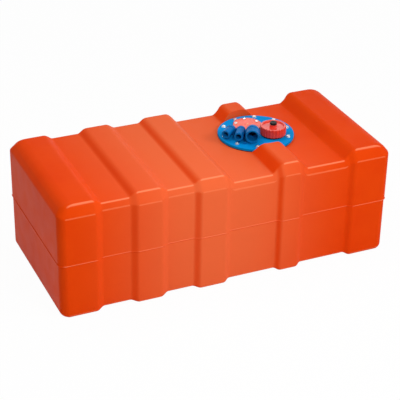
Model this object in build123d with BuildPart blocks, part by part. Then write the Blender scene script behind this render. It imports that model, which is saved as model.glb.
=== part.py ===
from build123d import *
import os
from math import asin, cos, degrees, radians, sin, sqrt

# Fixed fuel tank for an outboard motor boat, in millimetres, +Z up, +X along the tank.
# The origin is the middle of the face that the tank stands on.
# A ribbed hollow moulding carries a round fitting plate, let into a pocket in one rib, with
# three hose elbows, a blanking plug, a screw cap with its own vent valve, and a float sender.

# ---- tank moulding -------------------------------------------------------------------------
tank_length = 808.0
tank_width = 362.0
tank_height = 275.0
tank_wall = 5.5

left_end_rib = 87.0        # flat tops of the ribs, from the left end
second_rib = 58.0
third_rib = 62.0
plate_rib = 45.0           # the rib that the fitting plate sits in
first_hollow = 66.5        # flat floors of the hollows between the ribs
second_hollow = 64.0
third_hollow = 98.0
fourth_hollow = 97.5
shallow_ramp = 14.0        # run of the slope from a rib down to a hollow
deep_ramp = 20.0
deep_side_ramp = 10.0      # the same, at the sides and underneath

side_setback = 8.0         # how far the hollows lie inside the ribs, at front and back
base_setback = 5.0         # and underneath
shallow_drop = 10.5        # and on top: first and second hollow
deep_drop = 24.5           # third and fourth hollow
rib_bevel_width = 13.5     # long top edges of the ribs
rib_bevel_height = 25.8
hollow_bevel_width = 6.4   # long top edges of the hollows
hollow_bevel_height = 15.4
end_bevel_width = 16.5     # top edges of the two ends
end_bevel_height = 21.5
section_edge_radius = 5.0
inner_edge_radius = 2.0
end_corner_radius = 18.0   # upright corners
end_base_radius = 12.0     # bottom edges of the two ends
end_overrun = 1.0          # the end rounds and bevels run this far past the base and the top
end_top_radius = 5.0
seam_height = 132.0        # parting line of the mould
seam_step = 1.5            # the lower half stands back by this at front and back
seam_end_step = 2.2        # and by this at the ends
seam_rise = 2.0

# ---- fitting plate and what clamps it ------------------------------------------------------
plate_offset = 6.0         # to the right of the middle of its rib
plate_y = 27.5
plate_radius = 90.0
plate_thickness = 6.0
plate_edge_radius = 1.5
pocket_gap = 2.5           # between the plate and the pocket wall
gasket_thickness = 2.0
gasket_inset = 1.0
flange_hole_radius = 70.0
collar_depth = 14.0        # thickened ring of the moulding that holds the inserts
collar_width = 18.0
screw_count = 10
screw_circle_radius = 78.5
screw_start_angle = -4.9
screw_radius = 3.0
screw_length = 20.0        # under the head
screw_head_radius = 4.2
screw_head_height = 3.0
socket_width = 4.0         # across the corners of the hexagon socket
socket_depth = 1.6
washer_radius = 5.0
washer_thickness = 0.8
insert_radius = 4.6
insert_length = 12.0
screw_clearance = 0.3      # screws through plain holes
fit_clearance = 0.05       # pieces that seat in one another

# ---- level sender --------------------------------------------------------------------------
sender_x = -3.0            # from the middle of the plate
sender_y = 40.0
sender_radius = 34.0
sender_thickness = 2.6
sender_gasket_thickness = 0.8
sender_opening_radius = 22.0
sender_screw_count = 5
sender_screw_circle_radius = 27.0
sender_screw_start = 8.0
sender_screw_radius = 2.5
sender_screw_length = 9.0
sender_head_radius = 3.9
sender_head_height = 2.0
terminal_radius = 1.8
terminal_length = 16.0
bracket_width = 14.0
bracket_thickness = 3.0
bracket_tail = 14.0        # bracket below the pivot
pivot_height = 125.0
pivot_radius = 2.0
pivot_head_radius = 3.6
pivot_head_thickness = 1.2
resistor_width = 26.0
resistor_height = 40.0
resistor_depth = 12.0
hub_radius = 6.0
hub_thickness = 4.0
hub_gap = 0.3
arm_radius = 1.6
arm_length = 130.0         # pivot to the middle of the float
arm_bend_radius = 6.0
float_radius = 17.0
float_length = 40.0
float_edge_radius = 3.0
float_clearance = 4.0      # above the inside of the base, when the tank is empty
clip_radius = 4.0
clip_thickness = 1.0
arm_stub = 3.0             # wire that stands out of the float beyond the clip

# ---- filler neck, cap and vent valve -------------------------------------------------------
neck_x = 31.5              # from the middle of the plate
neck_y = -27.0
neck_radius = 22.0
neck_bore_radius = 18.5
neck_height = 16.0         # above the plate
neck_stem = 14.0           # below the plate
neck_flange_radius = 26.5
neck_flange_thickness = 3.0
neck_seal_thickness = 1.0
neck_nut_radius = 26.5
neck_nut_thickness = 7.0
thread_lead = 5.0
thread_height = 1.4        # of the ridge, out from the wall
thread_root = 2.4
thread_crest = 1.2
thread_bite = 0.3          # the ridge's foot lies this deep inside the wall
neck_thread_turns = 1.25
cap_thread_turns = 1.0
thread_start = 2.0         # above the neck flange
cap_radius = 30.5
cap_bore_radius = 24.4
cap_height = 20.0
cap_lift_off = 0.5         # skirt above the neck flange
cap_gasket_thickness = 2.0
cap_gasket_inner_radius = 18.5
cap_gasket_outer_radius = 23.8
dish_radius = 25.0
dish_depth = 3.0
cap_edge_radius = 1.5
flute_count = 24
flute_radius = 2.3
flute_depth = 1.3
vent_boss_radius = 8.5
vent_boss_height = 5.0
vent_shank_radius = 3.0
vent_shank_length = 9.0
vent_passage_radius = 1.2
vent_knob_radius = 8.2
vent_knob_height = 5.0
vent_flute_count = 12
vent_flute_radius = 1.1
vent_ring_thickness = 1.2
vent_ring_inner_radius = 3.6
vent_ring_outer_radius = 6.4

# ---- hose elbows and plug ------------------------------------------------------------------
elbow_seal_thickness = 1.0
elbow_flange_thickness = 2.6
elbow_nut_thickness = 5.0
elbow_stem = 11.0          # below the plate
hose_stop_height = 1.2     # ring that the hose butts against
hose_stop_length = 3.0
hose_tip_chamfer = 0.8
nut_flats = 6              # of the nuts and of the hexagon sockets
flange_overhang = 0.4      # of an elbow's flange, beyond the nut below it

filler_elbow_x = -19.0     # from the middle of the plate
filler_elbow_y = -22.0
filler_elbow_heading = 243.0
filler_elbow_height = 22.5
filler_elbow_reach = 43.0
filler_hose_radius = 16.0
filler_mouth_radius = 12.5
filler_bore_radius = 9.5
filler_stem_radius = 12.5
filler_nut_radius = 16.0

outlet_elbow_x = -36.5
outlet_elbow_y = 2.0
outlet_elbow_heading = 236.0
outlet_elbow_height = 15.2
outlet_elbow_reach = 46.0
outlet_hose_radius = 10.5
outlet_mouth_radius = 6.5
outlet_bore_radius = 5.05
outlet_stem_radius = 7.5
outlet_nut_radius = 10.5

vent_elbow_x = -54.0
vent_elbow_y = 15.0
vent_elbow_heading = 222.0
vent_elbow_height = 14.0
vent_elbow_reach = 40.0
vent_hose_radius = 10.0
vent_mouth_radius = 6.0
vent_bore_radius = 5.0
vent_stem_radius = 7.5
vent_nut_radius = 10.5

plug_x = -49.5
plug_y = -43.0
plug_head_radius = 5.0
plug_head_height = 3.2
plug_shank_radius = 3.0
plug_shank_length = 11.0
plug_socket_width = 4.6
plug_socket_depth = 2.2

pickup_wall = 1.0
pickup_insertion = 9.0     # tube inside the elbow's stem
strainer_radius = 11.0
strainer_length = 28.0
strainer_wall = 1.6
strainer_clearance = 4.0   # above the inside of the base
strainer_slots = 8
strainer_slot_width = 4.0
strainer_grip = 6.0        # closed top that holds the tube

# ---- places worked out from the sizes above ------------------------------------------------
half_length = tank_length / 2
half_width = tank_width / 2
ramp_ends = []
station = -half_length + left_end_rib
for hollow, ramp, side_ramp, drop, next_rib in (
    (first_hollow, shallow_ramp, shallow_ramp, shallow_drop, second_rib),
    (second_hollow, shallow_ramp, shallow_ramp, shallow_drop, third_rib),
    (third_hollow, deep_ramp, deep_side_ramp, deep_drop, plate_rib),
    (fourth_hollow, deep_ramp, deep_side_ramp, deep_drop, 0.0),
):
    # rib edge, hollow edge, hollow edge, rib edge, run at the sides, and depth on top
    ramp_ends.append((station, station + ramp, station + ramp + hollow,
                      station + 2 * ramp + hollow, side_ramp, drop))
    station += 2 * ramp + hollow + next_rib

plate_x = ramp_ends[2][3] + plate_rib / 2 + plate_offset
deck = tank_height - deep_drop
plate_base = deck + gasket_thickness
plate_top = plate_base + plate_thickness
pocket_radius = plate_radius + pocket_gap
collar_radius = flange_hole_radius + collar_width
floor_height = base_setback + tank_wall     # inside of the base, where it stands highest
float_rest_height = floor_height + float_clearance + float_radius
arm_rest_angle = degrees(asin((pivot_height - float_rest_height) / arm_length))


def on_plate(x, y, z):
    """A point given from the middle of the plate and the height z."""
    return Vector(plate_x + x, plate_y + y, z)


def outline(side, base, top, step, bevel_width, bevel_height, inset):
    """Corner points of a symmetric outline: seam step below, bevels above, drawn inset."""
    bevel = sqrt(bevel_width**2 + bevel_height**2)
    bevel_foot = top - bevel_height - inset * (bevel - bevel_height) / bevel_width
    bevel_head = side - bevel_width - inset * (bevel - bevel_width) / bevel_height
    right = [
        (side - step - inset, base + inset),
        (side - step - inset, seam_height - seam_rise / 2),
        (side - inset, seam_height + seam_rise / 2),
        (side - inset, bevel_foot),
        (bevel_head, top - inset),
    ]
    return right + [(-across, up) for across, up in reversed(right)]


def tank_section(x, side_share, top_share, drop, inset):
    """The tank's outline across its length at x, drawn inset from the outside skin.

    The shares tell how far the side and the top have gone from a rib, 0, to a hollow, 1.
    """
    side = half_width - side_share * side_setback
    base = side_share * base_setback
    top = tank_height - top_share * drop
    bevel_width = rib_bevel_width + top_share * (hollow_bevel_width - rib_bevel_width)
    bevel_height = rib_bevel_height + top_share * (hollow_bevel_height - rib_bevel_height)
    edge_radius = inner_edge_radius if inset > 0 else section_edge_radius
    with BuildSketch(Plane.YZ.offset(x)) as section:
        with BuildLine():
            Polyline(*outline(side, base, top, seam_step, bevel_width, bevel_height, inset),
                     close=True)
        make_face()
        corners = [v for v in section.vertices() if abs(v.Y - seam_height) > seam_rise]
        fillet(corners, edge_radius)
    return section.sketch


def tank_form(inset):
    """The whole outside shape of the tank, or the space inside it when inset is the wall."""
    shift = inset / 2       # slopes of the inside stand nearer the ribs' middles
    sections = [tank_section(-half_length, 0, 0, 0, inset)]
    for rib_out, hollow_in, hollow_out, rib_in, side_ramp, drop in ramp_ends:
        part_way = side_ramp / (hollow_in - rib_out)
        sections.append(tank_section(rib_out - shift, 0, 0, drop, inset))
        if part_way < 1:
            sections.append(tank_section(rib_out + side_ramp - shift, 1, part_way, drop, inset))
        sections.append(tank_section(hollow_in - shift, 1, 1, drop, inset))
        sections.append(tank_section(hollow_out + shift, 1, 1, drop, inset))
        if part_way < 1:
            sections.append(tank_section(rib_in - side_ramp + shift, 1, part_way, drop, inset))
        sections.append(tank_section(rib_in + shift, 0, 0, drop, inset))
    sections.append(tank_section(half_length, 0, 0, 0, inset))
    with BuildPart() as form:
        loft(sections, ruled=True)
        # the ends: top bevels, rounded base edges, and the step at the seam
        with BuildSketch(Plane.XZ) as side_view:
            bevel_height = end_bevel_height + end_overrun
            bevel_width = end_bevel_width / end_bevel_height * bevel_height
            with BuildLine():
                Polyline(*outline(half_length, -end_overrun, tank_height + end_overrun,
                                  seam_end_step, bevel_width, bevel_height, inset), close=True)
            make_face()
            fillet(side_view.vertices().group_by(Axis.Y)[0], end_base_radius - inset)
            fillet(side_view.vertices().group_by(Axis.Y)[-1], end_top_radius)
        extrude(amount=tank_width, both=True, mode=Mode.INTERSECT)
        # the upright corners
        with BuildSketch():
            RectangleRounded(tank_length - 2 * inset, tank_width - 2 * inset,
                             end_corner_radius - inset)
        extrude(amount=tank_height, mode=Mode.INTERSECT)
    return form.part


def screw_places(z):
    """Where the plate's screws stand, at height z."""
    spots = []
    for number in range(screw_count):
        angle = radians(screw_start_angle + 360 / screw_count * number)
        spots.append(on_plate(screw_circle_radius * cos(angle),
                              screw_circle_radius * sin(angle), z))
    return spots


def sender_screw_places(z):
    """Where the sender's screws stand, at height z."""
    spots = []
    for number in range(sender_screw_count):
        angle = radians(sender_screw_start + 360 / sender_screw_count * number)
        spots.append(on_plate(sender_x + sender_screw_circle_radius * cos(angle),
                              sender_y + sender_screw_circle_radius * sin(angle), z))
    return spots


os.makedirs("parts", exist_ok=True)


def finish(piece, name):
    """Name a finished piece and write its file."""
    piece.part.label = name
    export_step(piece.part, f"parts/{name}.step")


# ---- tank shell: hollow rotational moulding with a pocket and a collar for the plate --------
insert_seat = insert_radius + fit_clearance
with BuildPart() as fuel_space:
    add(tank_form(tank_wall))
    with BuildSketch(Plane.XY.offset(deck - tank_wall)):
        with Locations(on_plate(0, 0, 0)):
            Circle(pocket_radius + tank_wall)
    extrude(amount=tank_height, mode=Mode.SUBTRACT)
    with BuildSketch(Plane.XY.offset(deck - collar_depth)):
        with Locations(on_plate(0, 0, 0)):
            Circle(collar_radius)
            Circle(flange_hole_radius, mode=Mode.SUBTRACT)
    extrude(amount=collar_depth, mode=Mode.SUBTRACT)

with BuildPart() as tank_shell:
    add(tank_form(0))
    with BuildSketch(Plane.XY.offset(deck)):
        with Locations(on_plate(0, 0, 0)):
            Circle(pocket_radius)
    extrude(amount=tank_height, mode=Mode.SUBTRACT)
    add(fuel_space.part, mode=Mode.SUBTRACT)
    with BuildSketch(Plane.XY.offset(deck - 2 * collar_depth)):
        with Locations(on_plate(0, 0, 0)):
            Circle(flange_hole_radius)
    extrude(amount=3 * collar_depth, mode=Mode.SUBTRACT)
    with BuildSketch(Plane.XY.offset(deck)):
        with Locations(screw_places(0)):
            Circle(insert_seat)
    extrude(amount=-insert_length, mode=Mode.SUBTRACT)
finish(tank_shell, "tank_shell")

# ---- threaded inserts moulded into the collar ----------------------------------------------
with BuildPart() as threaded_inserts:
    with BuildSketch(Plane.XY.offset(deck - insert_length)):
        with Locations(screw_places(0)):
            Circle(insert_radius)
            Circle(screw_radius + fit_clearance, mode=Mode.SUBTRACT)
    extrude(amount=insert_length)
finish(threaded_inserts, "threaded_inserts")

# ---- plate gasket --------------------------------------------------------------------------
with BuildPart() as plate_gasket:
    with BuildSketch(Plane.XY.offset(deck)):
        with Locations(on_plate(0, 0, 0)):
            Circle(plate_radius - gasket_inset)
            Circle(flange_hole_radius, mode=Mode.SUBTRACT)
        with Locations(screw_places(0)):
            Circle(screw_radius + screw_clearance, mode=Mode.SUBTRACT)
    extrude(amount=gasket_thickness)
finish(plate_gasket, "plate_gasket")

# ---- fitting plate -------------------------------------------------------------------------
stem_holes = (
    (neck_x, neck_y, neck_radius),
    (filler_elbow_x, filler_elbow_y, filler_stem_radius),
    (outlet_elbow_x, outlet_elbow_y, outlet_stem_radius),
    (vent_elbow_x, vent_elbow_y, vent_stem_radius),
    (plug_x, plug_y, plug_shank_radius),
)
with BuildPart() as fitting_plate:
    with BuildSketch(Plane.XY.offset(plate_base)):
        with Locations(on_plate(0, 0, 0)):
            Circle(plate_radius)
    extrude(amount=plate_thickness)
    fillet(fitting_plate.edges().group_by(Axis.Z)[-1], plate_edge_radius)
    with BuildSketch(Plane.XY.offset(plate_base)):
        with Locations(screw_places(0)):
            Circle(screw_radius + screw_clearance)
        with Locations(on_plate(sender_x, sender_y, 0)):
            Circle(sender_opening_radius)
        for hole_x, hole_y, hole_radius in stem_holes:
            with Locations(on_plate(hole_x, hole_y, 0)):
                Circle(hole_radius + fit_clearance)
    extrude(amount=plate_thickness, mode=Mode.SUBTRACT)
    with BuildSketch(Plane.XY.offset(plate_top)):
        with Locations(sender_screw_places(0)):
            Circle(sender_screw_radius + fit_clearance)
    extrude(amount=-plate_thickness, mode=Mode.SUBTRACT)
finish(fitting_plate, "fitting_plate")

# ---- plate screws and their washers --------------------------------------------------------
head_base = plate_top + washer_thickness
with BuildPart() as plate_washers:
    with BuildSketch(Plane.XY.offset(plate_top)):
        with Locations(screw_places(0)):
            Circle(washer_radius)
            Circle(screw_radius + screw_clearance, mode=Mode.SUBTRACT)
    extrude(amount=washer_thickness)
finish(plate_washers, "plate_washers")

with BuildPart() as plate_screws:
    with BuildSketch(Plane.XY.offset(head_base)):
        with Locations(screw_places(0)):
            Circle(screw_head_radius)
    extrude(amount=screw_head_height)
    fillet(plate_screws.edges().group_by(Axis.Z)[-1], screw_head_height / 3)
    with BuildSketch(Plane.XY.offset(head_base + screw_head_height)):
        with Locations(screw_places(0)):
            RegularPolygon(socket_width / 2, nut_flats)
    extrude(amount=-socket_depth, mode=Mode.SUBTRACT)
    with BuildSketch(Plane.XY.offset(head_base)):
        with Locations(screw_places(0)):
            Circle(screw_radius)
    extrude(amount=-screw_length)
finish(plate_screws, "plate_screws")

# ---- level sender: gasket, flange, screws and terminal -------------------------------------
sender_base = plate_top + sender_gasket_thickness
sender_top = sender_base + sender_thickness
with BuildPart() as sender_gasket:
    with BuildSketch(Plane.XY.offset(plate_top)):
        with Locations(on_plate(sender_x, sender_y, 0)):
            Circle(sender_radius)
            Circle(sender_opening_radius, mode=Mode.SUBTRACT)
        with Locations(sender_screw_places(0)):
            Circle(sender_screw_radius + screw_clearance, mode=Mode.SUBTRACT)
    extrude(amount=sender_gasket_thickness)
finish(sender_gasket, "sender_gasket")

with BuildPart() as sender_flange:
    with BuildSketch(Plane.XY.offset(sender_base)):
        with Locations(on_plate(sender_x, sender_y, 0)):
            Circle(sender_radius)
    extrude(amount=sender_thickness)
    fillet(sender_flange.edges().group_by(Axis.Z)[-1], sender_thickness / 3)
    with BuildSketch(Plane.XY.offset(sender_base)):
        with Locations(sender_screw_places(0)):
            Circle(sender_screw_radius + screw_clearance)
        with Locations(on_plate(sender_x, sender_y, 0)):
            Circle(terminal_radius + fit_clearance)
    extrude(amount=sender_thickness, mode=Mode.SUBTRACT)
finish(sender_flange, "sender_flange")

with BuildPart() as sender_screws:
    with BuildSketch(Plane.XY.offset(sender_top)):
        with Locations(sender_screw_places(0)):
            Circle(sender_head_radius)
    extrude(amount=sender_head_height)
    fillet(sender_screws.edges().group_by(Axis.Z)[-1], sender_head_height / 3)
    with BuildSketch(Plane.XY.offset(sender_top + sender_head_height)):
        with Locations(sender_screw_places(0)):
            RegularPolygon(socket_width / 2, nut_flats)
    extrude(amount=-sender_head_height / 2, mode=Mode.SUBTRACT)
    with BuildSketch(Plane.XY.offset(sender_top)):
        with Locations(sender_screw_places(0)):
            Circle(sender_screw_radius)
    extrude(amount=-sender_screw_length)
finish(sender_screws, "sender_screws")

with BuildPart() as sender_terminal:
    with BuildSketch(Plane.XY.offset(sender_top)):
        with Locations(on_plate(sender_x, sender_y, 0)):
            Circle(terminal_radius)
    extrude(amount=-terminal_length)
finish(sender_terminal, "sender_terminal")

# ---- sender bracket: a strip that hangs from the flange beside the terminal ------------------
bracket_y = sender_y + terminal_radius + bracket_thickness      # middle of the strip
pivot = on_plate(sender_x, bracket_y, pivot_height)
bracket_length = sender_base - pivot_height + bracket_tail
with BuildPart() as sender_bracket:
    with BuildSketch(Plane.XY.offset(sender_base)):
        with Locations(on_plate(sender_x, bracket_y, 0)):
            Rectangle(bracket_width, bracket_thickness)
    extrude(amount=-bracket_length)
    with BuildSketch(Plane.XZ.offset(-pivot.Y)):
        with Locations((pivot.X, pivot.Z)):
            Circle(pivot_radius + fit_clearance)
    extrude(amount=bracket_thickness, both=True, mode=Mode.SUBTRACT)
finish(sender_bracket, "sender_bracket")

# ---- resistor housing on the back of the bracket -------------------------------------------
with BuildPart() as sender_resistor:
    with BuildSketch(Plane.XZ.offset(-(pivot.Y + bracket_thickness / 2))):
        with Locations((pivot.X, pivot.Z + resistor_height / 4)):
            RectangleRounded(resistor_width, resistor_height, resistor_depth / 4)
        with Locations((pivot.X, pivot.Z)):
            Circle(pivot_radius + fit_clearance, mode=Mode.SUBTRACT)
    extrude(amount=-resistor_depth)
finish(sender_resistor, "sender_resistor")

# ---- pivot pin: headed at the front, ends flush with the resistor housing ------------------
hub_back = pivot.Y - bracket_thickness / 2 - hub_gap
hub_front = hub_back - hub_thickness
with BuildPart() as pivot_pin:
    with BuildSketch(Plane.XZ.offset(-(hub_front - hub_gap))):
        with Locations((pivot.X, pivot.Z)):
            Circle(pivot_radius)
    extrude(amount=-(2 * hub_gap + hub_thickness + bracket_thickness + resistor_depth))
    with BuildSketch(Plane.XZ.offset(-(hub_front - hub_gap))):
        with Locations((pivot.X, pivot.Z)):
            Circle(pivot_head_radius)
    extrude(amount=pivot_head_thickness)
finish(pivot_pin, "pivot_pin")

# ---- float arm: hub on the pin, wire out to the float, bent through its middle ---------------
arm_direction = Vector(cos(radians(arm_rest_angle)), 0, -sin(radians(arm_rest_angle)))
arm_start = Vector(pivot.X, (hub_front + hub_back) / 2, pivot.Z)
arm_corner = arm_start + arm_direction * arm_length
float_front = arm_corner.Y + arm_bend_radius
float_back = float_front + float_length
arm_tip = Vector(arm_corner.X, float_back + clip_thickness + arm_stub, arm_corner.Z)
wire_start = arm_start + arm_direction * (pivot_radius + hub_radius) / 2
with BuildPart() as float_arm:
    with BuildLine():
        FilletPolyline(wire_start, arm_corner, arm_tip, radius=arm_bend_radius)
    with BuildSketch(Plane(origin=wire_start, z_dir=arm_direction)):
        Circle(arm_radius)
    sweep()
    with BuildSketch(Plane.XZ.offset(-hub_back)):
        with Locations((pivot.X, pivot.Z)):
            Circle(hub_radius)
    extrude(amount=hub_thickness)
    with BuildSketch(Plane.XZ.offset(-hub_back)):
        with Locations((pivot.X, pivot.Z)):
            Circle(pivot_radius + fit_clearance)
    extrude(amount=hub_thickness, mode=Mode.SUBTRACT)
finish(float_arm, "float_arm")

with BuildPart() as float_body:
    with BuildSketch(Plane.XZ.offset(-float_front)):
        with Locations((arm_corner.X, arm_corner.Z)):
            Circle(float_radius)
    extrude(amount=-float_length)
    fillet(float_body.edges().filter_by(GeomType.CIRCLE), float_edge_radius)
    with BuildSketch(Plane.XZ.offset(-float_front)):
        with Locations((arm_corner.X, arm_corner.Z)):
            Circle(arm_radius + fit_clearance)
    extrude(amount=-float_length, mode=Mode.SUBTRACT)
finish(float_body, "float_body")

with BuildPart() as float_clip:
    with BuildSketch(Plane.XZ.offset(-float_back)):
        with Locations((arm_corner.X, arm_corner.Z)):
            Circle(clip_radius)
            Circle(arm_radius + fit_clearance, mode=Mode.SUBTRACT)
    extrude(amount=-clip_thickness)
finish(float_clip, "float_clip")


def thread_ridge(centre, radius, turns, outward):
    """A helical ridge on a wall of this radius, outward on a neck or inward in a cap."""
    reach = thread_height if outward else -thread_height
    bite = -thread_bite if outward else thread_bite
    with BuildPart() as ridge:
        with BuildLine() as helix:
            Helix(pitch=thread_lead, height=thread_lead * turns, radius=radius, center=centre)
        start = helix.line @ 0
        with BuildSketch(Plane(origin=start, x_dir=(1, 0, 0), z_dir=helix.line % 0)):
            with BuildLine():
                Polyline((bite, -thread_root / 2), (reach, -thread_crest / 2),
                         (reach, thread_crest / 2), (bite, thread_root / 2), close=True)
            make_face()
        sweep(is_frenet=True)
    return ridge.part


# ---- filler neck: flanged threaded tube, its seal and the nut under the plate ----------------
neck_flange_base = plate_top + neck_seal_thickness
neck_flange_top = neck_flange_base + neck_flange_thickness
neck_top = plate_top + neck_height
neck_thread_base = neck_flange_top + thread_start
with BuildPart() as filler_neck:
    with BuildSketch(Plane.XY.offset(plate_base - neck_stem)):
        with Locations(on_plate(neck_x, neck_y, 0)):
            Circle(neck_radius)
    extrude(amount=neck_top - plate_base + neck_stem)
    with BuildSketch(Plane.XY.offset(neck_flange_base)):
        with Locations(on_plate(neck_x, neck_y, 0)):
            Circle(neck_flange_radius)
    extrude(amount=neck_flange_thickness)
    add(thread_ridge(on_plate(neck_x, neck_y, neck_thread_base), neck_radius,
                     neck_thread_turns, True))
    with BuildSketch(Plane.XY.offset(plate_base - neck_stem)):
        with Locations(on_plate(neck_x, neck_y, 0)):
            Circle(neck_bore_radius)
    extrude(amount=neck_top - plate_base + neck_stem, mode=Mode.SUBTRACT)
finish(filler_neck, "filler_neck")

with BuildPart() as neck_seal:
    with BuildSketch(Plane.XY.offset(plate_top)):
        with Locations(on_plate(neck_x, neck_y, 0)):
            Circle(neck_flange_radius)
            Circle(neck_radius + fit_clearance, mode=Mode.SUBTRACT)
    extrude(amount=neck_seal_thickness)
finish(neck_seal, "neck_seal")

with BuildPart() as neck_nut:
    with BuildSketch(Plane.XY.offset(plate_base)):
        with Locations(on_plate(neck_x, neck_y, 0)):
            Circle(neck_nut_radius)
            Circle(neck_radius + fit_clearance, mode=Mode.SUBTRACT)
    extrude(amount=-neck_nut_thickness)
finish(neck_nut, "neck_nut")

# ---- filler cap: fluted skirt, dished top and a boss for the vent valve ----------------------
cap_base = neck_flange_top + cap_lift_off
cap_top = cap_base + cap_height
cap_roof = neck_top + cap_gasket_thickness
dish_floor = cap_top - dish_depth
boss_top = dish_floor + vent_boss_height
cap_axis = on_plate(neck_x, neck_y, 0)
vent_port_height = dish_floor + vent_boss_height / 2
flute_circle = cap_radius - flute_depth + flute_radius
with BuildPart() as filler_cap:
    with BuildSketch(Plane.XY.offset(cap_base)):
        with Locations(on_plate(neck_x, neck_y, 0)):
            Circle(cap_radius)
    extrude(amount=cap_height)
    fillet(filler_cap.edges().group_by(Axis.Z)[-1], cap_edge_radius)
    with BuildSketch(Plane.XY.offset(cap_base)):
        with Locations(on_plate(neck_x, neck_y, 0)):
            with PolarLocations(flute_circle, flute_count):
                Circle(flute_radius)
    extrude(amount=cap_height, mode=Mode.SUBTRACT)
    with BuildSketch(Plane.XY.offset(cap_top)):
        with Locations(on_plate(neck_x, neck_y, 0)):
            Circle(dish_radius)
    extrude(amount=-dish_depth, mode=Mode.SUBTRACT)
    with BuildSketch(Plane.XY.offset(dish_floor)):
        with Locations(on_plate(neck_x, neck_y, 0)):
            Circle(vent_boss_radius)
    extrude(amount=vent_boss_height)
    with BuildSketch(Plane.XY.offset(cap_base)):
        with Locations(on_plate(neck_x, neck_y, 0)):
            Circle(cap_bore_radius)
    extrude(amount=cap_roof - cap_base, mode=Mode.SUBTRACT)
    add(thread_ridge(on_plate(neck_x, neck_y, neck_thread_base + thread_lead / 2),
                     cap_bore_radius, cap_thread_turns, False))
    with BuildSketch(Plane.XY.offset(cap_roof)):
        with Locations(on_plate(neck_x, neck_y, 0)):
            Circle(vent_shank_radius + fit_clearance)
    extrude(amount=boss_top - cap_roof, mode=Mode.SUBTRACT)
    # the vent port, out through the back of the boss
    with BuildSketch(Plane.XZ.offset(-cap_axis.Y)):
        with Locations((cap_axis.X, vent_port_height)):
            Circle(vent_passage_radius)
    extrude(amount=-vent_boss_radius, mode=Mode.SUBTRACT)
finish(filler_cap, "filler_cap")

with BuildPart() as cap_gasket:
    with BuildSketch(Plane.XY.offset(neck_top)):
        with Locations(on_plate(neck_x, neck_y, 0)):
            Circle(cap_gasket_outer_radius)
            Circle(cap_gasket_inner_radius, mode=Mode.SUBTRACT)
    extrude(amount=cap_gasket_thickness)
finish(cap_gasket, "cap_gasket")

# ---- vent valve in the cap: sealing ring, knob and drilled shank -----------------------------
# The shank is drilled up its middle and out to one side, a quarter turn from the cap's port.
knob_base = boss_top + vent_ring_thickness
with BuildPart() as vent_ring:
    with BuildSketch(Plane.XY.offset(boss_top)):
        with Locations(on_plate(neck_x, neck_y, 0)):
            Circle(vent_ring_outer_radius)
            Circle(vent_ring_inner_radius, mode=Mode.SUBTRACT)
    extrude(amount=vent_ring_thickness)
finish(vent_ring, "vent_ring")

with BuildPart() as vent_knob:
    with BuildSketch(Plane.XY.offset(knob_base)):
        with Locations(on_plate(neck_x, neck_y, 0)):
            Circle(vent_knob_radius)
            with PolarLocations(vent_knob_radius, vent_flute_count):
                Circle(vent_flute_radius, mode=Mode.SUBTRACT)
    extrude(amount=vent_knob_height)
    with BuildSketch(Plane.XY.offset(knob_base)):
        with Locations(on_plate(neck_x, neck_y, 0)):
            Circle(vent_shank_radius)
    extrude(amount=-vent_shank_length)
    with BuildSketch(Plane.XY.offset(knob_base - vent_shank_length)):
        with Locations(on_plate(neck_x, neck_y, 0)):
            Circle(vent_passage_radius)
    extrude(amount=vent_port_height - knob_base + vent_shank_length, mode=Mode.SUBTRACT)
    with BuildSketch(Plane.YZ.offset(cap_axis.X)):
        with Locations((cap_axis.Y, vent_port_height)):
            Circle(vent_passage_radius)
    extrude(amount=2 * vent_shank_radius, mode=Mode.SUBTRACT)
finish(vent_knob, "vent_knob")


def hose_elbow(x, y, heading, height, reach, hose_radius, mouth_radius, bore_radius,
               stem_radius, flange_radius, name):
    """A right-angle hose tail: stem through the plate, bend, and a plain end for the hose."""
    along = Vector(cos(radians(heading)), sin(radians(heading)), 0)
    across = Vector(along.Y, -along.X, 0)
    foot = on_plate(x, y, plate_base - elbow_stem)
    flange_base = plate_top + elbow_seal_thickness
    corner = on_plate(x, y, plate_top + height)
    tip = corner + along * reach
    bend = height - elbow_seal_thickness - elbow_flange_thickness
    neck_foot = on_plate(x, y, flange_base)
    with BuildPart() as elbow:
        with BuildSketch(Plane.XY.offset(foot.Z)):
            with Locations((foot.X, foot.Y)):
                Circle(stem_radius)
        extrude(amount=flange_base - foot.Z)
        with BuildSketch(Plane.XY.offset(flange_base)):
            with Locations((foot.X, foot.Y)):
                Circle(flange_radius)
        extrude(amount=elbow_flange_thickness)
        with BuildLine():
            FilletPolyline(neck_foot, corner, tip, radius=bend)
        with BuildSketch(Plane(origin=neck_foot)):
            Circle(hose_radius)
        sweep()
        with BuildSketch(Plane(origin=corner + along * bend, x_dir=across, z_dir=along)):
            Circle(hose_radius + hose_stop_height)
        extrude(amount=hose_stop_length)
        tip_edge = elbow.faces().filter_by(
            lambda face: (face.center() - tip).length < hose_radius).sort_by(
            lambda face: (face.center() - tip).length)[0].outer_wire().edges()
        chamfer(tip_edge, hose_tip_chamfer)
        with BuildLine():
            FilletPolyline(foot, corner, tip, radius=bend)
        with BuildSketch(Plane(origin=foot)):
            Circle(bore_radius)
        sweep(mode=Mode.SUBTRACT)
        with BuildSketch(Plane(origin=tip, x_dir=across, z_dir=along)):
            Circle(mouth_radius)
        extrude(amount=-(reach - bend), mode=Mode.SUBTRACT)
    finish(elbow, name)


def elbow_seal(x, y, stem_radius, flange_radius, name):
    """The flat seal between an elbow's flange and the plate."""
    with BuildPart() as seal:
        with BuildSketch(Plane.XY.offset(plate_top)):
            with Locations(on_plate(x, y, 0)):
                Circle(flange_radius)
                Circle(stem_radius + fit_clearance, mode=Mode.SUBTRACT)
        extrude(amount=elbow_seal_thickness)
    finish(seal, name)


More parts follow.
